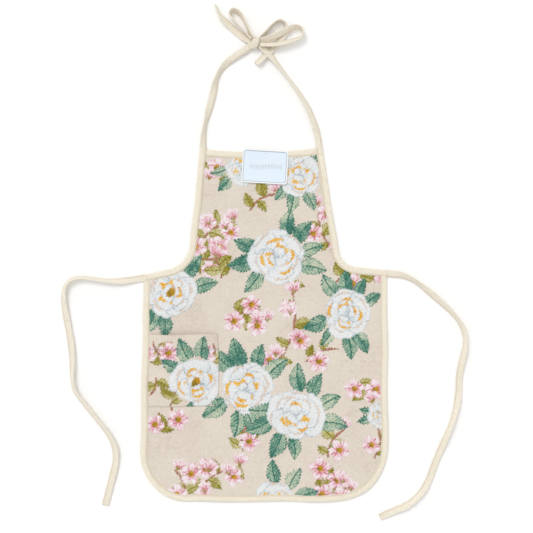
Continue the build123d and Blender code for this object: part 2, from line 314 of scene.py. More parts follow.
def rounded_line(corners, radii):
    """A line through corners, each rounded by a tangent arc of its radius."""
    corners = [complex(*c) for c in corners]
    line = [corners[0]]
    for before, here, after, radius in zip(corners, corners[1:], corners[2:], radii):
        way = (here - before) / abs(here - before)
        turn = np.angle((after - here) / way)
        start = here - way * radius * math.tan(abs(turn) / 2)
        centre = start + way * 1j * math.copysign(radius, turn)
        line.extend(centre + (start - centre) * np.exp(1j * np.linspace(0, turn, 40)))
    return even_line([*line, corners[-1]])


def arc_line(first, middle, last):
    """The arc through three points."""
    first, middle, last = (complex(*p) for p in (first, middle, last))
    ratio = (last - first) / (middle - first)
    centre = first + (middle - first) * (ratio - abs(ratio) ** 2) / (2j * ratio.imag)
    sweep = np.angle((last - centre) / (first - centre))
    return even_line(centre + (first - centre) * np.exp(1j * np.linspace(0, sweep, 80)))


def left_of(line):
    """The unit vector to the left of a flat line at each of its points."""
    way = unit(np.gradient(line, axis=0))
    return np.stack([-way[:, 1], way[:, 0]], axis=1)


def past(end, before, more):
    """A point that far past the end of a straight."""
    end, before = np.array(end), np.array(before)
    return tuple(end + unit(end - before) * more)


def binding_lines():
    """The outer line of each binding, counterclockwise, so that the cloth is on its left."""
    left = [past(LEFT_NECK, LEFT_ARMPIT, 0.4), LEFT_ARMPIT, past(LEFT_WAIST, LEFT_ARMPIT, 0.6)]
    right = [past(RIGHT_WAIST, RIGHT_ARMPIT, 0.6), RIGHT_ARMPIT, past(RIGHT_NECK, RIGHT_ARMPIT, 0.4)]
    side = [LEFT_WAIST, LEFT_HEM, RIGHT_HEM, RIGHT_WAIST]
    return {
        "left_armhole": rounded_line(left, [LEFT_ARMPIT_RADIUS]),
        "right_armhole": rounded_line(right, [RIGHT_ARMPIT_RADIUS]),
        "neckline": arc_line(*NECKLINE),
        "side_and_hem": rounded_line(side, [LEFT_HEM_RADIUS, RIGHT_HEM_RADIUS]),
    }


def camera():
    """The camera, straight above the apron."""
    data = bpy.data.cameras.new("camera")
    data.lens = 60
    data.sensor_width = 36
    data.clip_start = 0.05
    data.clip_end = 20
    eye = add_object("camera", data)
    eye.location = (*VIEW_CENTRE, VIEW_WIDTH * data.lens / data.sensor_width)
    bpy.context.scene.camera = eye


# The woven picture

class Weave:
    """A colour and a height of pile at each tuft of a patch of cloth."""

    EDGE = 1.7      # how far the yarns stray over the edge of a shape, in millimetres
    TONES = 2.3     # how far the yarns stray between tones, in steps of their row of colours

    # A rose's rings from the outer one in: petals, and how far out, how long and how wide they are, as shares
    ROSE_RINGS = [(6, 0.55, 0.88, 1.04), (5, 0.45, 0.70, 0.92), (4, 0.30, 0.56, 0.70), (3, 0.13, 0.40, 0.44)]

    # A cell's four sides, in rows and columns: the corner it starts from, its way, and the cell beyond it
    SIDES = [
        ((0, 0), (0, 1), (-1, 0)), ((0, 1), (1, 0), (0, 1)),
        ((1, 1), (0, -1), (1, 0)), ((1, 0), (-1, 0), (0, -1)),
    ]

    def __init__(self, low, high, pitch, seed):
        draw = np.random.default_rng(seed)
        columns = 4 * math.ceil((high[0] - low[0]) / pitch / 4) + 1
        rows = 4 * math.ceil((high[1] - low[1]) / pitch / 4) + 1
        self.pitch = pitch
        self.x = low[0] + pitch * np.arange(columns)
        self.y = low[1] + pitch * np.arange(rows)
        shape = (rows, columns)
        self.stray = draw.random(shape) - 0.5
        self.pick = draw.random(shape) - 0.5
        self.cloud = self.clouds(shape, 26, draw) + 0.6 * self.clouds(shape, 7, draw)
        tone = 0.5 + 0.34 * self.cloud + 0.05 * np.sin(self.y[:, None] * 2.1)
        self.colour = self.yarn(GROUND, tone, 1.5 * self.pick)
        self.pile = np.zeros(shape)

    @staticmethod
    def clouds(shape, cell, draw):
        """Smooth noise of about -0.5 to 0.5, in patches of so many tufts."""
        coarse = draw.random((shape[0] // cell + 3, shape[1] // cell + 3)) - 0.5
        rows = np.linspace(0, shape[0] / cell, shape[0])
        columns = np.linspace(0, shape[1] / cell, shape[1])
        i, j = rows.astype(int), columns.astype(int)
        v, u = smooth(rows - i)[:, None], smooth(columns - j)[None, :]
        top = coarse[i][:, j] * (1 - u) + coarse[i][:, j + 1] * u
        bottom = coarse[i + 1][:, j] * (1 - u) + coarse[i + 1][:, j + 1] * u
        return top * (1 - v) + bottom * v

    @staticmethod
    def yarn(colours, tone, stray):
        """Between the colours of a row of yarns, each tuft straying a little."""
        yarns = np.array([linear(c) for c in colours])
        at = np.clip(tone * (len(yarns) - 1) + stray, 0, len(yarns) - 1)
        low = np.minimum(at.astype(int), len(yarns) - 2)
        share = (at - low)[..., None]
        return yarns[low] * (1 - share) + yarns[low + 1] * share

    def window(self, xs, ys, reach):
        """The part of the cloth round some points: its slices and its tufts' places."""
        columns = slice(*np.searchsorted(self.x, [min(xs) - reach, max(xs) + reach]))
        rows = slice(*np.searchsorted(self.y, [min(ys) - reach, max(ys) + reach]))
        return (rows, columns), *np.meshgrid(self.x[columns], self.y[rows])

    def lay(self, place, cover, tone, colours, pile=0.4):
        """Lays yarns where cover, a distance inside the shape's edge, is above nothing."""
        if not cover.size:
            return
        inside = cover > self.EDGE * self.stray[place]
        laid = self.yarn(colours, tone, self.TONES * self.pick[place])
        self.colour[place][inside] = laid[inside]
        self.pile[place][inside] = pile * (0.75 + 0.5 * self.stray[place][inside])

    def leaf(self, start, end, width, colours):
        """A leaf with a dark midrib, slanting veins, one darker side and a toothed edge."""
        place, x, y = self.window([start[0], end[0]], [start[1], end[1]], width)
        length = math.dist(start, end)
        way = ((end[0] - start[0]) / length, (end[1] - start[1]) / length)
        along = (x - start[0]) * way[0] + (y - start[1]) * way[1]
        across = (y - start[1]) * way[0] - (x - start[0]) * way[1]
        u = np.clip(along / length, 0, 1)
        across = across - 0.12 * width * np.sin(np.pi * u)
        half = 0.5 * width * np.sin(np.pi * u ** 0.75) ** 0.85
        teeth = 0.8 * np.sin(along * 2 * np.pi / 4.3) * (half > 2)
        cover = np.where((along < 0) | (along > length), -9, half + teeth - abs(across))
        vein = np.clip(1 - 2.0 * abs(np.sin((along - 1.1 * abs(across)) * np.pi / 5.2)), 0, 1)
        tone = 0.66 - 0.62 * vein + np.where(across > 0, 0.10, -0.12)
        tone = tone + 0.9 * self.cloud[place] + 0.5 * self.stray[place]
        tone = np.where(abs(across) < 0.9, 0.0, tone)
        tone = np.where(cover < 1.3, tone - 0.42, tone)
        self.lay(place, cover, tone, colours)

    def line(self, points, width, colours, fade=0.35, tone=0.4):
        """A yarn drawn along points, thinner towards both ends."""
        place, x, y = self.window(*zip(*points), width + 2)
        at = distances(np.array(points))
        best = np.full(x.shape, 1e9)
        share = np.zeros(x.shape)
        side = np.zeros(x.shape)
        for (ax, ay), (bx, by), before, after in zip(points, points[1:], at, at[1:]):
            run = after - before
            t = np.clip(((x - ax) * (bx - ax) + (y - ay) * (by - ay)) / run ** 2, 0, 1)
            away = np.hypot(x - ax - t * (bx - ax), y - ay - t * (by - ay))
            nearer = away < best
            best = np.where(nearer, away, best)
            share = np.where(nearer, (before + t * run) / at[-1], share)
            side = np.where(nearer, ((y - ay) * (bx - ax) - (x - ax) * (by - ay)) / run, side)
        half = 0.5 * width * (1 - fade * (2 * share - 1) ** 2)
        self.lay(place, half - best, tone + 0.45 * side / width, colours)

    def petal(self, centre, turn, length, width, colours, base=0.15, tip=0.95, rim=0.3):
        """An egg-shaped petal about its centre, from shaded at its base to light at its tip."""
        place, x, y = self.window([centre[0]], [centre[1]], max(length, width))
        dx, dy = x - centre[0], y - centre[1]
        across = dy * math.cos(turn) - dx * math.sin(turn)
        u = (dx * math.cos(turn) + dy * math.sin(turn)) / (0.5 * length)
        v = across / (0.5 * width * (1 + 0.18 * u))
        angle = np.arctan2(v, u)
        frill = 0.05 * np.sin(3 * angle + centre[0]) + 0.03 * np.sin(7 * angle + centre[1])
        cover = (1 + frill - np.hypot(u, v)) * 0.5 * min(length, width)
        pleats = 0.17 * np.sin(across * 2 * np.pi / 5.0 + 10 * self.cloud[place])
        tone = base + (tip - base) * smooth(0.62 + 0.55 * u) + pleats + 0.28 * self.cloud[place]
        self.lay(place, cover, np.where(cover < 1.2, tone - rim, tone), colours)

    def rose(self, x, y, radius, turn, is_open, leaves):
        """A full rose: leaves fanned under two sides of it, then rings of petals from the outer one in,
        with blush or gold showing between them."""
        draw = np.random.default_rng(abs(7 * x + 13 * y) + radius)
        turn = math.radians(turn)
        for k in range(leaves):
            step = k // 2 - (leaves - 1) / 4
            angle = turn + math.pi * (k % 2) + 0.58 * step + 0.24 * (draw.random() - 0.5)
            size = radius * (0.78 + 0.30 * draw.random())
            tip = self.off(x, y, angle + 0.12, 0.85 * radius + size)
            self.leaf(self.off(x, y, angle, 0.80 * radius), tip, 0.60 * size, TEAL)
        for ring, (count, at, length, width) in enumerate(self.ROSE_RINGS):
            for k in range(5 if ring == 3 else 0):
                angle = turn + 2.4 * k + 0.6 * draw.random()
                place = self.off(x, y, angle, radius * (0.22 + 0.14 * draw.random()))
                self.petal(place, angle + 0.3, 0.38 * radius, 0.15 * radius, GOLD, base=0.0, tip=1.0, rim=0)
            for k in range(count):
                angle = turn + 2 * math.pi * (k + 0.5 * ring) / count + 0.6 * (draw.random() - 0.5)
                out = radius * at * (0.80 + 0.40 * draw.random())
                size = radius * (0.74 + 0.44 * draw.random())
                golden = draw.random() < 0.7 and ring > 1
                if ring:
                    place = self.off(x, y, angle - 0.06, out + (3.4 if golden else 2.4) * radius / 38)
                    palette = GOLD if golden else BLUSH
                    self.petal(place, angle, 1.04 * size * length, 0.80 * size * width, palette,
                               base=0.1, tip=0.9, rim=0)
                self.petal(self.off(x, y, angle, out), angle, size * length, size * width, WHITE,
                           base=0.10 + 0.05 * ring, rim=0.5)
        if is_open:
            self.petal((x, y), 0.9, 0.42 * radius, 0.30 * radius, HEART, base=0.0, tip=0.8, rim=-0.4)

    @staticmethod
    def off(x, y, angle, distance):
        """The place that far from (x, y)."""
        return x + distance * math.cos(angle), y + distance * math.sin(angle)

    def spray(self, x, y, turn, length, opened, sided, bend):
        """A brown branch with olive leaves, open blossoms on twigs beside it and side blossoms towards its
        tip."""
        draw = np.random.default_rng(abs(5 * x + 11 * y) + length)
        angle = math.radians(turn)

        def beside(share, out):
            out = bend * (out + 0.14 * length * math.sin(math.pi * share))
            return self.off(*self.off(x, y, angle, share * length), angle + math.pi / 2, out)

        self.line([beside(s, 0) for s in (0, 0.25, 0.5, 0.75, 1)], 3.6, BARK)
        for k in range(2 + length // 30):
            size = 18 + 10 * draw.random()
            root = beside(0.12 + 0.24 * k, 0)
            tip = self.off(*root, angle + (-1) ** k * bend * (1.0 + 0.5 * draw.random()), size)
            self.leaf(root, tip, 0.6 * size, OLIVE)
        for k in range(opened):
            share = (k + 0.35) / opened
            place = beside(share, (-1) ** (k + 1) * (11 + 4 * draw.random()))
            self.line([beside(share, 0), place], 1.8, GREEN)
            self.open_blossom(*place, 12.5 + 3 * draw.random(), int(72 * draw.random()))
        for k in range(sided):
            place = beside(1 - 0.27 * k, (-1) ** k * (3 + 5 * (k > 0)))
            self.side_blossom(*place, 15 + 4 * draw.random(), int(60 * draw.random() - 30))

    def open_blossom(self, x, y, size, turn):
        """Five petals round a golden heart, every other one with a deeper streak."""
        for k in range(5):
            angle = math.radians(turn + 72 * k)
            self.petal(self.off(x, y, angle, 0.56 * size), angle, 0.96 * size, 0.78 * size, PINK, 0.22, 0.98)
            if k % 2 == 0:
                streak = [self.off(x, y, angle, 0.3 * size), self.off(x, y, angle + 0.3, 0.85 * size)]
                self.line(streak, 1.7, PINK, tone=0.12)
        self.petal((x, y), 0, 0.62 * size, 0.56 * size, HEART, base=0.1, tip=0.9, rim=-0.3)

    def side_blossom(self, x, y, size, turn):
        """Three petals seen from the side, fanned from a green calyx at (x, y)."""
        for spread, share in ((-0.62, 0.92), (0.66, 0.9), (0.02, 1.0)):
            angle = math.radians(90 - turn) + spread
            place = self.off(x, y, angle, 0.52 * size * share)
            self.petal(place, angle, 0.9 * size * share, 0.46 * size, PINK, base=0.12, tip=1.0, rim=0.2)
            self.line([(x, y), self.off(x, y, angle, 0.72 * size)], 1.3, PINK, tone=0.25)
        for spread in (-0.6, 0.5):
            tip = self.off(x, y, math.radians(90 - turn) + spread, 0.28 * size)
            self.line([(x, y - 1), tip], 2.2, OLIVE, tone=0.2)

    def crease(self, y, half, share):
        """Darkens the cloth's colour along a row of stitches: painted shade where the hem folds."""
        # Painted shade: the colour is darkened most on the row itself and less to either side.
        hem_shade_depth = share * np.exp(-(((self.y - y) / half) ** 2))
        self.colour *= (1 - hem_shade_depth)[:, None, None]

    def draw(self, sprays, roses):
        for spray in sprays:
            self.spray(*spray)
        for rose in roses:
            self.rose(*rose)

    def cloth(self, name, inside, surface, material):
        """A sheet of this weave: fine tufts where the picture is, cells of two by two on the plain ground,
        and blocks of four by four at the back. The sheet has the blocks that inside(x, y) holds, and
        surface(x, y) gives the front's height."""
        rows, columns = self.pile.shape
        kept = inside(*np.meshgrid(self.x[2:-1:4], self.y[2:-1:4]))
        front = kept.repeat(2, axis=0).repeat(2, axis=1)
        worked = self.pile > 0
        split = np.zeros(front.shape, bool)
        for i in range(3):
            for j in range(3):
                split |= worked[i : i + rows - 2 : 2, j : j + columns - 2 : 2]
        split &= front
        numbers, faces = {}, []

        def corner(at_front, i, j):
            return numbers.setdefault((at_front, int(i), int(j)), len(numbers))

        def around(held, r, c, size):
            """Each side of a cell: its corner, the step along it, and whether the cell beside it is held."""
            for (i, j), (down, on), (row, column) in self.SIDES:
                beside = held[r + 1 + row, c + 1 + column]
                yield size * (r + i), size * (c + j), down, on, beside

        padded = np.pad(split, 1)
        for r, c in zip(*np.nonzero(front)):
            if split[r, c]:
                for i, j in ((2 * r + a, 2 * c + b) for a in (0, 1) for b in (0, 1)):
                    tuft = [(i, j), (i, j + 1), (i + 1, j + 1), (i + 1, j)]
                    faces.append(tuple(corner(True, *p) for p in tuft))
                continue
            ring = []
            for i, j, down, on, beside in around(padded, r, c, 2):
                ring += [corner(True, i, j)] + ([corner(True, i + down, j + on)] if beside else [])
            faces.append(tuple(ring))
        padded = np.pad(kept, 1)
        for r, c in zip(*np.nonzero(kept)):
            sides = list(around(padded, r, c, 4))
            faces.append(tuple(corner(False, i, j) for i, j, *_ in (sides[0], sides[3], sides[2], sides[1])))
            for i, j, down, on, beside in sides:
                if not beside:
                    edge = [(True, i + s * down, j + s * on) for s in (4, 3, 2, 1, 0)]
                    ends = [corner(False, i, j), corner(False, i + 4 * down, j + 4 * on)]
                    faces.append((*ends, *[numbers[p] for p in edge if p in numbers]))
        at_front, i, j = np.array(list(numbers)).T
        at_front = at_front.astype(bool)
        x, y = self.x[j], self.y[i]
        z = surface(x, y) + np.where(at_front, self.pile[i, j], -CLOTH)
        plain = linear(GROUND[2])
        muted = plain + 0.4 * (self.colour[i, j] - plain) + 0.05 * self.pick[i, j][:, None]
        colours = np.where(at_front[:, None], self.colour[i, j], muted)
        sheet = add_mesh(name, settle(np.stack([x, y, z], axis=1)), faces, material)
        point_colours(sheet, np.clip(colours, 0, 1))
        return sheet


# Materials

class Surface:
    """A new material, its shader, and short calls that make its nodes. Numbers that are the same all over
    are on the shader's own sockets."""

    def __init__(self, name, roughness, sheen=0.0, specular=0.25, colour=(200, 200, 200)):
        self.material = bpy.data.materials.new(name)
        self.material.use_nodes = True
        self.tree = self.material.node_tree
        self.shader = self.tree.nodes["Principled BSDF"].inputs
        self.shader["Base Color"].default_value = (*linear(colour), 1)
        self.shader["Roughness"].default_value = roughness
        self.shader["Specular IOR Level"].default_value = specular
        self.shader["Sheen Weight"].default_value = sheen
        self.shader["Sheen Roughness"].default_value = 0.5
        self.place = self.node("TexCoord").outputs["Object"]

    def feed(self, socket, value):
        """Links a socket to another, or sets it to a number or a screen colour."""
        if isinstance(value, bpy.types.NodeSocket):
            self.tree.links.new(value, socket)
        else:
            socket.default_value = (*linear(value), 1) if isinstance(value, tuple) else value

    def node(self, kind, **values):
        made = self.tree.nodes.new("ShaderNode" + kind)
        for name, value in values.items():
            self.feed(made.inputs[name.replace("_", " ")], value)
        return made

    def noise(self, scale, detail):
        return self.node("TexNoise", Scale=scale, Detail=detail, Vector=self.place).outputs["Fac"]

    def wave(self, vector, scale, distortion, direction="X"):
        made = self.node("TexWave", Scale=scale, Distortion=distortion, Detail=1.0, Detail_Scale=2.0,
                         Vector=vector)
        made.bands_direction = direction
        return made.outputs["Fac"]

    def maths(self, operation, a, b=0.0):
        made = self.node("Math")
        made.operation = operation
        self.feed(made.inputs[0], a)
        self.feed(made.inputs[1], b)
        return made.outputs["Value"]

    def plus(self, a, b):
        return self.maths("ADD", a, b)

    def times(self, a, b):
        return self.maths("MULTIPLY", a, b)

    def mixed(self, factor, first, second, blend="MIX"):
        """A colour between two, each a socket or a screen colour."""
        made = self.tree.nodes.new("ShaderNodeMix")
        made.data_type = "RGBA"
        made.blend_type = blend
        for socket, value in zip((made.inputs[0], made.inputs[6], made.inputs[7]), (factor, first, second)):
            self.feed(socket, value)
        return made.outputs[2]

    def finish(self, colour, height, strength, distance):
        """Gives the shader its colour, and a bump from a height."""
        bump = self.node("Bump", Strength=strength, Distance=distance * MM, Height=height)
        self.feed(self.shader["Base Color"], colour)
        self.feed(self.shader["Normal"], bump.outputs["Normal"])
        return self.material

    def picture(self):
        """The colour attribute that the mesh carries."""
        made = self.node("Attribute")
        made.attribute_name = "picture"
        return made.outputs["Color"]


def chenille_material(name, seed):
    """Cut chenille: the woven picture's colours, with rows of soft tufts and fine stray fibres, and painted
    shade between the tufts.
    """
    made = Surface(name, 0.92, sheen=0.15)
    rows = made.wave(made.place, 300, 3.0, direction="Y")
    tufts = made.noise(900 + seed, 3)
    fibres = made.noise(3200, 1)
    height = made.plus(made.plus(made.times(rows, 0.35), made.times(tufts, 1.2)), made.times(fibres, 0.3))
    # Darker where the tufts sit lower: painted shade between the tufts, together with the pile's own mottle.
    shade = made.plus(made.times(tufts, 0.44), 0.80)
    tuft_shade = made.node("CombineColor", Red=shade, Green=shade, Blue=shade).outputs["Color"]
    return made.finish(made.mixed(1.0, made.picture(), tuft_shade, "MULTIPLY"), height, 0.5, 0.5)


def tape_material(name, pale, shade, row):
    """Cotton tape: a fine diagonal twill along the UV map named tape, in millimetres, a little mottled, and
    darker between the stitches of its row, which is painted shade at the stitch holes."""
    made = Surface(name, 0.88, sheen=0.12)
    uv = made.node("UVMap")
    uv.uv_map = "tape"
    turned = made.node("Mapping", Vector=uv.outputs["UV"])
    turned.inputs["Rotation"].default_value = (0, 0, math.radians(38))
    twill = made.wave(turned.outputs["Vector"], 0.16, 1.0)
    yarns = made.noise(1500, 2)
    mottle = made.times(made.maths("SUBTRACT", made.noise(460, 1), 0.4), 1.1)
    amount = made.plus(made.times(made.maths("SUBTRACT", 1.0, twill), made.plus(0.15, yarns)), mottle)
    place = made.node("SeparateXYZ", Vector=uv.outputs["UV"]).outputs
    # Painted shade: near the row of stitches the colour leans to the shade colour at each hole between
    # stitches.
    off_row = made.maths("ABSOLUTE", made.maths("SUBTRACT", place["Y"], row))
    on_row = made.maths("MAXIMUM", made.maths("SUBTRACT", 1.0, made.times(off_row, 0.7)), 0.0)
    turns = made.times(made.maths("SUBTRACT", place["X"], HOLE), 2 * math.pi / STITCH_PITCH)
    stitch_hole_shade = made.times(made.plus(made.maths("COSINE", turns), 1.0), 1.1)
    colour = made.mixed(made.plus(amount, made.times(on_row, stitch_hole_shade)), pale, shade)
    return made.finish(colour, made.plus(twill, made.times(yarns, 0.6)), 0.6, 0.35)


def thread_material():
    made = Surface("cream_thread", 0.55, sheen=0.1)
    twist = made.noise(2400, 1)
    return made.finish(made.mixed(twist, (246, 239, 222), (226, 214, 190)), twist, 0.4, 0.1)


def card_material():
    """Coated card, with a faint tooth, in the colours of its print."""
    made = Surface("printed_card", 0.5, specular=0.4)
    return made.finish(made.picture(), made.noise(1800, 3), 0.12, 0.05)


def plastic_material():
    """Clear nylon, a little milky, with faint flow marks."""
    made = Surface("clear_nylon", 0.25, specular=0.5)
    made.shader["Transmission Weight"].default_value = 0.1
    flow = made.noise(700, 2)
    return made.finish(made.mixed(flow, (238, 243, 246), (226, 232, 236)), flow, 0.15, 0.05)


def floor_material():
    made = Surface("pale_floor", 0.9, colour=(255, 255, 255))
    made.feed(made.shader["Base Color"], made.mixed(made.noise(3, 2), (255, 255, 255), (253, 253, 252)))
    return made.material


# Ties

# Half of a tie's section, (across, height) from its middle: from the open edge and its stitches to the fold
RIBBON_SECTION = [
    (-4.35, 0.04), (-4.74, 0.30), (-4.60, 0.74), (-4.15, 0.92), (EDGE_ROW, 0.72), (-2.95, 0.93), (-1.4, 0.97),
    (1.4, 0.98), (3.2, 0.95), (4.2, 0.82), (4.62, 0.50), (TAPE / 2, 0.0),
]
RIBBON_RING = RIBBON_SECTION + [(w, -t) for w, t in reversed(RIBBON_SECTION[:-1])]


def spline_points(places):
    """Points of a route's smooth line, whose control points are the route's own."""
    curve = bpy.data.curves.new("route", "CURVE")
    curve.dimensions = "3D"
    spline = curve.splines.new("NURBS")
    spline.points.add(len(places) - 1)
    for point, place in zip(spline.points, places):
        point.co = (*place, 1)
    spline.order_u = 3
    spline.use_endpoint_u = True
    spline.resolution_u = 14
    holder = bpy.data.objects.new("route", curve)
    mesh = bpy.data.meshes.new_from_object(holder)
    line = np.array([v.co for v in mesh.vertices], float)
    bpy.data.objects.remove(holder)
    bpy.data.curves.remove(curve)
    bpy.data.meshes.remove(mesh)
    return line


class Ribbon:
    """A tie: tape folded shut, along a smooth line, turned about that line by its roll."""

    def __init__(self, route):
        line = spline_points([(x, y, z) for x, y, z, _ in route])
        roll = np.radians(spline_points([(r, 0, 0) for *_, r in route])[:, :1])
        even = resampled(np.hstack([line, roll]), 1.4)
        self.middle, roll = even[:, :3], even[:, 3]
        lowest = 0.5 * TAPE * abs(np.sin(roll)) + 0.5 * TIE * np.cos(roll) + 0.02
        height = np.maximum(self.middle[:, 2], lowest)
        for _ in range(6):
            soft = height.copy()
            soft[1:-1] = (height[:-2] + 2 * height[1:-1] + height[2:]) / 4
            height = np.maximum(soft, lowest)
        self.middle[:, 2] = height
        self.way = unit(np.gradient(self.middle, axis=0))
        flat = unit(np.cross([0, 0, 1.0], self.way))
        up = np.cross(self.way, flat)
        self.across = flat * np.cos(roll)[:, None] + up * np.sin(roll)[:, None]
        self.face = np.cross(self.way, self.across)
        self.at = distances(self.middle)
        self.length = self.at[-1]

    def surface(self, w, t):
        """The line that far across and that high on the tape's face, each a number or one for each point."""
        return self.middle + self.across * np.reshape(w, (-1, 1)) + self.face * np.reshape(t, (-1, 1))

    def mesh(self, name, tape, seed):
        """The tape. It cups a little, and its edges and its thickness are not quite even."""
        phase = np.random.default_rng(seed).random(4) * 2 * np.pi
        cup = 0.22 * np.sin(self.at / 31 + phase[0])
        edge = 0.16 * np.sin(self.at / 5.3 + phase[1]) + 0.10 * np.sin(self.at / 2.1 + phase[2])
        dimple = 0.10 * np.cos(2 * np.pi * self.at / STITCH_PITCH)
        rings = []
        for w, t in RIBBON_RING:
            bend = cup * (1 - (w / (TAPE / 2)) ** 2)
            near_row = dimple * (w == EDGE_ROW) * (1 if t > 0 else -1)
            rings.append(self.surface(w + np.sign(w) * edge * (abs(w) > 4), t + bend + near_row))
        points = np.stack(rings, axis=1).reshape(-1, 3)
        points[:, 2] = np.maximum(points[:, 2], 0.01)
        sides, count = len(RIBBON_RING), len(self.middle)
        piece = add_mesh(name, points, tube_faces(count, sides), tape)
        uv_map(piece, np.column_stack([self.at.repeat(sides), np.tile([w for w, _ in RIBBON_RING], count)]))
        return piece

    def edge_row(self, name, thread):
        """The row of stitches beside the open edge, on both faces."""
        places = np.arange(2.5, self.length - 1, STITCH_PITCH)
        faces = [self.surface(EDGE_ROW, height) for height in (0.76, -0.76)]
        parts = [stitches_on(f, self.at, places, STITCH_LENGTH, TIE_THREAD_RADIUS) for f in faces]
        return thread_object(name, parts, thread)

    def end_rows(self, name, thread):
        """The turned hem at the free end: two short rows of stitches across the tape, on both faces."""
        parts = []
        for back in (2.2, 5.4):
            k = int(np.searchsorted(self.at, self.length - back))
            for side in (1, -1):
                across = np.linspace(-4.2, 4.2, 25)[:, None] * self.across[k]
                row = self.middle[k] + across + self.face[k] * side * 1.02
                parts.append(stitches_along(row, 2.1, 1.7, TIE_THREAD_RADIUS))
        return thread_object(name, parts, thread)


def capsules(middles, ways, length, radius):
    """Threads that lie in the cloth: slim bars, narrower towards both ends."""
    sides = 6
    along = [-0.5, -0.36, 0.0, 0.36, 0.5]
    girth = [0.35, 0.85, 1.0, 0.85, 0.35]
    helper = np.where(abs(ways[:, 2:]) > 0.9, [[1.0, 0, 0]], [[0, 0, 1.0]])
    side = unit(np.cross(helper, ways))
    up = np.cross(ways, side)
    angles = (2 * np.pi * np.arange(sides) / sides)[:, None]
    spokes = side[:, None] * np.cos(angles) + up[:, None] * np.sin(angles)
    rings = [(middles + ways * a * length)[:, None] + g * radius * spokes for a, g in zip(along, girth)]
    bar, count = tube_faces(len(along), sides), len(along) * sides
    faces = [tuple(count * k + v for v in face) for k in range(len(middles)) for face in bar]
    return np.stack(rings, axis=1).reshape(-1, 3), faces


def stitches_on(surface, at, places, length, radius):
    """Stitches at some places along a line of surface points."""
    ways = at_distances(places + 0.5, at, surface) - at_distances(places - 0.5, at, surface)
    return capsules(at_distances(places, at, surface), unit(ways), length, radius)


def stitches_along(line, pitch, length, radius):
    """Stitches all along a line of surface points."""
    at = distances(line)
    count = max(1, int((at[-1] - 0.4) / pitch))
    places = (at[-1] - (count - 1) * pitch) / 2 + pitch * np.arange(count)
    return stitches_on(line, at, places, length, radius)


def thread_object(name, parts, thread, settled=False):
    points, faces = joined(parts)
    points[:, 2] = np.maximum(points[:, 2], 0.0)
    return add_mesh(name, settle(points) if settled else points, faces, thread)


def make_ties(tape, thread):
    """Every tie, loop and tail, each a free length of tape with its row of edge stitches. The first point
    of the long ties is inside the binding. The long ties are left in the world's frame, and the bow's loops
    and tails go with the neck loop."""
    ties = {
        "left_waist_tie": ([(-165, 65.4, 1.3, 0)] + LEFT_WAIST_ROUTE, "bare"),
        "right_waist_tie": ([(168.5, 71.8, 1.3, 0)] + RIGHT_WAIST_ROUTE, "bare"),
        "left_neck_tie": ([(-85.7, 240, 1.3, 0)] + LEFT_NECK_ROUTE, "object"),
        "right_neck_tie": ([(78.3, 240, 1.3, 0)] + RIGHT_NECK_ROUTE, "object"),
        "left_bow_tail": (LEFT_TAIL_ROUTE, "bare"),
        "right_bow_tail": (RIGHT_TAIL_ROUTE, "bare"),
        "left_bow_loop": (LEFT_LOOP_ROUTE, "object"),
        "right_bow_loop": (RIGHT_LOOP_ROUTE, "object"),
    }
    across_joint = {
        "left_waist_tie": ("left_waist_tie", (-170, 64.8, 1), (-196, 61, 1)),
        "right_waist_tie": ("right_waist_tie", (173, 71.6, 1), (199, 68, 1)),
        "left_neck_tie": ("neck_loop", (-85, 246.6, 1), (-85, 264, 1)),
        "right_neck_tie": ("neck_loop", (77, 246.6, 1), (77, 264, 1)),
    }
    hem_stands_for = {
        "left_waist_tie": "left_waist_tie_end_stitch",
        "right_waist_tie": "right_waist_tie_end_stitch",
        "left_bow_tail": "bow_tail_end_stitches",
    }
    for seed, (name, (route, far_end)) in enumerate(ties.items()):
        ribbon = Ribbon(route)
        piece = ribbon.mesh(name + "_tape", tape, seed)
        rows = [ribbon.edge_row(name + "_edge_stitches", thread)]
        if far_end == "bare":
            rows.append(ribbon.end_rows(name + "_end_rows", thread))
        if name in hem_stands_for:
            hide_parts(hem_stands_for[name])
        for item in [piece, *rows]:
            if name in across_joint:
                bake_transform(item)
            else:
                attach(item, "neck_loop")
        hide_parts(name)


def knot_band(centre, turn, lean, reach, width, squeeze, seed):
    """A band of the knot: tape pulled tight round what it holds, creased along its length."""
    section = [(-1, 0.0), (-0.86, 0.55), (-0.5, 0.92), (-0.2, 0.66), (0.1, 0.98), (0.45, 0.62), (0.75, 0.95),
               (0.95, 0.5), (1, 0.0), (0.8, -0.5), (0, -0.6), (-0.8, -0.5)]
    phase = np.random.default_rng(seed).random(len(section)) * 2 * np.pi
    turn = math.radians(turn)
    along = np.array([math.cos(turn), math.sin(turn), 0])
    axis = np.array([-math.sin(turn), math.cos(turn), 0])
    up = np.array([0, 0, 1.0])
    points, count = [], 56
    for angle in 2 * np.pi * np.arange(count) / count:
        out = math.cos(angle) * along * reach[0] + math.sin(angle) * up * reach[1]
        normal = unit(math.cos(angle) * along / reach[0] + math.sin(angle) * up / reach[1])
        half = 0.5 * width * (1 - squeeze * math.cos(angle) ** 2)
        for (w, t), p in zip(section, phase):
            crease = 0.12 * math.sin(3 * angle + p)
            aside = axis * (lean * math.sin(angle) + w * half)
            points.append(centre + out + aside + normal * (t * 1.1 + crease))
    return np.array(points), tube_faces(count, len(section), closed=True)


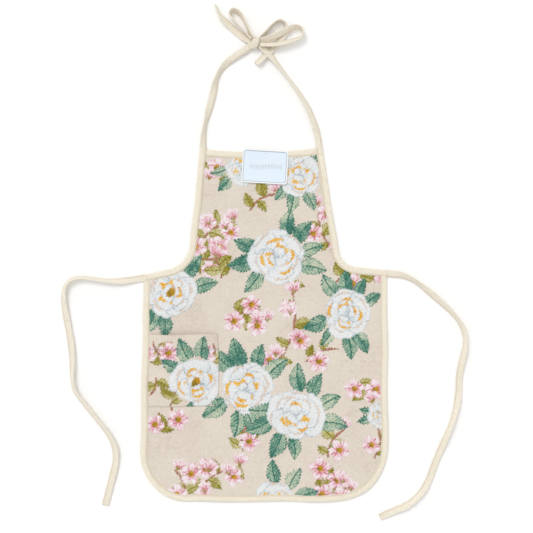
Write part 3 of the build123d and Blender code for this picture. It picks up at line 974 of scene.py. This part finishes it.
def make_knot(tape):
    """The knot of the bow: a front wrap over two bulges of tape, all pulled tight."""
    x, y = KNOT_CENTRE
    points, faces = joined([
        knot_band((x + 1.2, y + 0.2, 5.2), 74, 1.2, (7.4, 4.6), 9.4, 0.28, 1),
        knot_band((x - 3.2, y - 2.6, 4.4), 40, -1.0, (5.6, 3.6), 8.2, 0.3, 2),
        knot_band((x + 0.4, y + 2.6, 4.4), -28, 0.8, (6.0, 3.4), 8.0, 0.3, 3),
        knot_band((x - 0.4, y - 0.4, 4.0), 160, 0.6, (5.2, 3.2), 9.0, 0.2, 4),
    ])
    points[:, 2] = np.maximum(points[:, 2], 0.1)
    knot = add_mesh("bow_knot_wraps", points, faces, tape)
    uv_map(knot, points[:, :2] * 1.3)
    finish_piece(knot, "neck_loop", "tie_tape", "bow_knot")


# The bound edge

# Tape folded round the cloth's edge: (distance inside the outline, height), front, then back, then within
BINDING_SECTION = [
    (9.50, 2.10), (9.46, 2.42), (9.15, 2.62), (8.60, 2.56), (8.20, 2.40), (7.80, 2.56), (6.6, 2.72),
    (4.2, 2.80), (2.2, 2.74), (0.9, 2.46), (0.2, 1.95), (0.0, 1.30), (0.2, 0.65), (0.9, 0.16), (2.2, 0.02),
    (6.6, 0.0), (9.1, 0.03), (9.46, 0.20), (9.50, 0.52), (8.0, 0.62), (2.0, 0.64), (0.85, 1.30), (2.0, 1.98),
    (8.0, 2.0),
]


def make_binding(name, line, lift, tape, thread, seed):
    """One folded tape along the outline, and its stitches, which pull dimples into it, front and back."""
    phase = np.random.default_rng(seed).random(4) * 2 * np.pi
    inward = left_of(line)
    at = distances(line)
    puff = 0.10 * np.sin(at / 6.1 + phase[0]) + 0.08 * np.sin(at / 2.3 + phase[1])
    waver = 0.22 * np.sin(at / 9.7 + phase[2]) + 0.12 * np.sin(at / 3.1 + phase[3])
    pull = 0.14 * np.cos(2 * np.pi * at / STITCH_PITCH)

    def along(inset, z):
        return np.column_stack([line + inward * np.reshape(inset, (-1, 1)), np.broadcast_to(z, len(line))])

    rings = []
    for inset, z in BINDING_SECTION:
        height = z + lift * (z > BOUND / 2) + (puff + pull * (7.6 < inset < 9)) * (z > 2.2)
        rings.append(along(inset + waver * (inset > 7), height))
    sides = len(BINDING_SECTION)
    points = np.stack(rings, axis=1).reshape(-1, 3)
    binding = add_mesh(name + "_tape", settle(points), tube_faces(len(line), sides), tape)
    girth = [inset if z > BOUND / 2 else -inset for inset, z in BINDING_SECTION]
    uv_map(binding, np.column_stack([at.repeat(sides), np.tile(girth, len(line))]))
    finish_piece(binding, "apron", "binding_tape", name + "_binding")
    places = np.arange(2.0, at[-1] - 2.0, STITCH_PITCH)
    rows = [stitches_on(along(STITCH_INSET + waver, z), at, places, STITCH_LENGTH, THREAD_RADIUS)
            for z in (BOUND + lift - 0.02, 0.08)]
    stitches = thread_object(name + "_stitches", rows, thread, settled=True)
    finish_piece(stitches, "apron", "thread", name + "_stitching")
    return binding


def zigzag(x, y, turn, height):
    """A bar tack: a close zigzag of thread over a short line."""
    count = 9
    way = np.array([math.cos(turn), math.sin(turn)])
    side = np.array([-way[1], way[0]])
    ends = np.array([np.array([x, y]) + way * TACK[0] * (k / count - 0.5) + side * TACK[1] * 0.5 * (-1) ** k
                     for k in range(count + 1)])
    middles = np.column_stack([(ends[:-1] + ends[1:]) / 2, np.full(count, height)])
    ways = np.column_stack([np.diff(ends, axis=0), np.zeros(count)])
    return capsules(middles, unit(ways), 1.05 * math.dist(*ends[:2]), THREAD_RADIUS)


def make_tacks(thread):
    """The tacks where one tape laps another."""
    neck = [(-86.9, 239.5, 5), (79.2, 239.5, -8)]
    waist = [(-164.4, 66.3, 103), (168.0, 72.9, 85)]
    for name, places in (("neck_corner_tacks", neck), ("waist_corner_tacks", waist)):
        parts = [zigzag(x, y, math.radians(turn), BOUND + 0.45) for x, y, turn in places]
        finish_piece(thread_object(name + "_thread", parts, thread), "apron", "thread", name)


# The pocket

def pocket_height(x, y):
    """The height of the pocket's front: a low arch from side to side, flatter towards the bottom, with
    turned edges, a sunk seam and a hem at the top."""
    middle, half = (POCKET_LEFT + POCKET_RIGHT) / 2, (POCKET_RIGHT - POCKET_LEFT) / 2
    down = np.clip(POCKET_TOP - y, 0, None)
    inside = np.clip(1 - np.abs((x - middle) / half) ** 2.2, 0, 1)
    arch = 0.8 * np.interp(down, ARCH_AT, ARCH_RISE) * inside
    from_edge = np.minimum(np.minimum(x - POCKET_LEFT, POCKET_RIGHT - x), y - POCKET_BOTTOM)
    turned = 1.1 * (1 - np.sqrt(np.clip(1 - np.clip(1 - from_edge / 1.8, 0, 1) ** 2, 0, 1)))
    seam = 0.35 * np.exp(-(((from_edge - POCKET_SEAM) / 0.8) ** 2))
    hem_line = 0.45 * np.exp(-(((down - POCKET_HEM) / 1.2) ** 2))
    wrinkle = 0.14 * np.sin(down / 4.6 + 0.02 * x) * inside
    hem = 0.4 * smooth((POCKET_HEM - down) / 2)
    return FRONT + 0.15 + CLOTH + arch - turned - seam - hem_line - wrinkle + hem


def make_pocket(weave, cloth, thread):
    def inside(x, y):
        return (x > POCKET_LEFT) & (x < POCKET_RIGHT) & (y > POCKET_BOTTOM) & (y < POCKET_TOP)

    def sewn(name, parts, node):
        return finish_piece(thread_object(name, parts, thread, settled=True), "apron", "thread", node)

    pocket = weave.cloth("pocket_patch", inside, pocket_height, cloth)
    finish_piece(pocket, "apron", "pocket_chenille", "pocket")
    side_x, low_y, hem_y = POCKET_RIGHT - POCKET_SEAM, POCKET_BOTTOM + POCKET_SEAM, POCKET_TOP - POCKET_HEM
    rows = {
        "pocket_stitching": rounded_line(
            [(side_x, POCKET_TOP - 1), (side_x, low_y), (POCKET_LEFT + 1, low_y)], [4.0]),
        "pocket_hem_stitching": rounded_line(
            [(POCKET_RIGHT - 5, hem_y), (-110, hem_y - 0.3), (POCKET_LEFT + 1, hem_y)], [900.0]),
    }
    for name, line in rows.items():
        surface = np.column_stack([line, pocket_height(*line.T) + 0.12])
        sewn(name + "_row", [stitches_along(surface, STITCH_PITCH, STITCH_LENGTH, 0.25)], name)
    tack_y = POCKET_TOP - 4.2
    tacks = [zigzag(x, tack_y, math.radians(90), pocket_height(x, tack_y) + 0.3)
             for x in (POCKET_RIGHT - 5, POCKET_LEFT + 5)]
    sewn("pocket_corner_tack_thread", tacks, "pocket_corner_tacks")


# The hang tag

def make_card(printed):
    """A coated card, rounded at its corners and curled a little, with a border line and a plain sprig."""
    pitch = 0.4
    half = np.array(CARD) / 2
    x, y = np.meshgrid(*[np.arange(-reach, reach + pitch / 2, pitch) for reach in half])

    def edge_distance(inset, corner):
        """How far inside a rounded rectangle each point is."""
        qx, qy = abs(x) - (half[0] - inset - corner), abs(y) - (half[1] - inset - corner)
        return corner - np.hypot(np.maximum(qx, 0), np.maximum(qy, 0)) - np.minimum(np.maximum(qx, qy), 0)

    rim = linear((244, 247, 249))
    colour = np.broadcast_to(rim, (*x.shape, 3)).copy()
    border = edge_distance(1.8, CARD_CORNER - 1.0)
    colour[border > 0] = linear((168, 174, 182))
    colour[border > 0.95] = linear((226, 238, 248))
    sprig = np.where(abs(x) < 23.5, 0.35 - abs(y - 1.2 * np.sin(0.55 * x / 4.1)), -9)
    for k in range(-5, 6):
        for turn in (math.radians(-52), math.radians(52)):
            dx = x - 4.1 * k - 2.2 * math.cos(turn)
            dy = y - 1.2 * math.sin(0.55 * k) - 2.2 * math.sin(turn)
            u = dx * math.cos(turn) + dy * math.sin(turn)
            v = dy * math.cos(turn) - dx * math.sin(turn)
            sprig = np.maximum(sprig, 1 - np.hypot(u / 2.3, v / 0.85))
    colour[sprig > 0] = linear((205, 216, 226))
    curl = 0.2 * (x / half[0]) ** 2 + 0.9 * np.clip(-y / half[1], 0, 1) ** 2
    corner_x, corner_y = np.sign(x) * (half[0] - CARD_CORNER), np.sign(y) * (half[1] - CARD_CORNER)
    away = np.maximum(np.hypot(x - corner_x, y - corner_y), 1e-9)
    pulled = np.where(edge_distance(0, CARD_CORNER) < 0, CARD_CORNER / away, 1)
    place = corner_x + (x - corner_x) * pulled + 1j * (corner_y + (y - corner_y) * pulled)
    place = complex(*CARD_CENTRE) + place * np.exp(1j * CARD_TURN)
    front = np.stack([place.real, place.imag, CARD_Z + CARD_THICKNESS + curl], axis=-1).reshape(-1, 3)
    count = len(front)
    number = np.arange(count).reshape(x.shape)
    quads = [number[:-1, :-1], number[:-1, 1:], number[1:, 1:], number[1:, :-1]]
    quads = np.stack(quads, axis=-1).reshape(-1, 4)
    edge = np.concatenate([number[0, :-1], number[:-1, -1], number[-1, :0:-1], number[:0:-1, 0]])
    after = np.roll(edge, -1)
    walls = np.stack([after, edge, edge + count, after + count], axis=1)
    faces = np.concatenate([quads, quads[:, ::-1] + count, walls]).tolist()
    points = np.concatenate([front, front - [0, 0, CARD_THICKNESS]])
    card = add_mesh("hang_tag_card", points, faces, printed, rounded=False)
    point_colours(card, np.concatenate([colour.reshape(-1, 3), np.broadcast_to(rim, (count, 3))]))
    finish_piece(card, "hang_tag", "card", "hang_tag")


# The panel

def make_panel(weave, cloth, lines):
    """The bib and skirt, one sheet of cloth, its raw edge inside the bindings."""
    order = ("neckline", "left_armhole", "side_and_hem", "right_armhole")
    outline = np.concatenate([lines[n] for n in order])

    def inside(x, y):
        """Inside the outline by an even-odd test, and further than the raw edge from it."""
        held = np.zeros(x.shape, bool)
        near = np.full(x.shape, 1e9)
        corners = outline[::4]
        for (ax, ay), (bx, by) in zip(corners, np.roll(corners, -1, axis=0)):
            crosses = (ay > y) != (by > y)
            with np.errstate(divide="ignore", invalid="ignore"):
                held ^= crosses & (x < (bx - ax) * (y - ay) / (by - ay) + ax)
        for ax, ay in outline[::3]:
            near = np.minimum(near, (x - ax) ** 2 + (y - ay) ** 2)
        return held & (near > RAW_EDGE ** 2)

    def surface(x, y):
        return np.full(x.shape, FRONT)

    panel = weave.cloth("bib_and_skirt", inside, surface, cloth)
    finish_piece(panel, "apron", "floral_chenille", "body_panel")


# The room

def make_floor(pale):
    reach, low = 60000, -0.2
    corners = [(-reach, -reach, low), (reach, -reach, low), (reach, reach, low), (-reach, reach, low)]
    add_mesh("floor", corners, [(0, 1, 2, 3)], pale, rounded=False)


def make_lights():
    """A white room, and one broad soft light high behind the bow, to the left."""
    world = bpy.data.worlds.new("room")
    world.use_nodes = True
    background = world.node_tree.nodes["Background"].inputs
    background["Color"].default_value = (1, 1, 1, 1)
    background["Strength"].default_value = 0.78
    bpy.context.scene.world = world
    data = bpy.data.lights.new("soft_light", "SUN")
    data.angle = math.radians(24)
    data.energy = 1.0
    light = add_object("soft_light", data)
    light.rotation_euler = (math.radians(38), 0, math.radians(215))
    bpy.context.scene.view_settings.view_transform = "Standard"


def main():
    camera()
    tie_tape = tape_material("tie_twill", (250, 244, 231), (221, 208, 184), EDGE_ROW)
    binding_tape = tape_material("binding_twill", (252, 246, 231), (220, 207, 182), STITCH_INSET)
    thread = thread_material()
    make_ties(tie_tape, thread)
    make_knot(tie_tape)
    lines = binding_lines()
    for seed, (name, line) in enumerate(lines.items()):
        lift = 0.35 if "armhole" in name else 0.0
        make_binding(name, line, lift, binding_tape, thread, 20 + seed)
    make_tacks(thread)
    body_weave = Weave((-178, -251), (178, 251), 1.05, 5)
    body_weave.draw(BODY_SPRAYS, BODY_ROSES)
    make_panel(body_weave, chenille_material("panel_chenille", 0), lines)
    pocket_weave = Weave((POCKET_LEFT - 1, POCKET_BOTTOM - 1), (POCKET_RIGHT + 1, POCKET_TOP + 1), 0.9, 9)
    pocket_weave.draw(POCKET_SPRAYS, POCKET_ROSES)
    # Painted shade along the pocket's hem line
    pocket_weave.crease(POCKET_TOP - POCKET_HEM, 1.6, 0.24)
    make_pocket(pocket_weave, chenille_material("pocket_chenille", 40), thread)
    make_card(card_material())
    plastic = plastic_material()
    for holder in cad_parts["tag_pin"].material_slots:
        holder.material = plastic
    make_floor(floor_material())
    make_lights()


main()
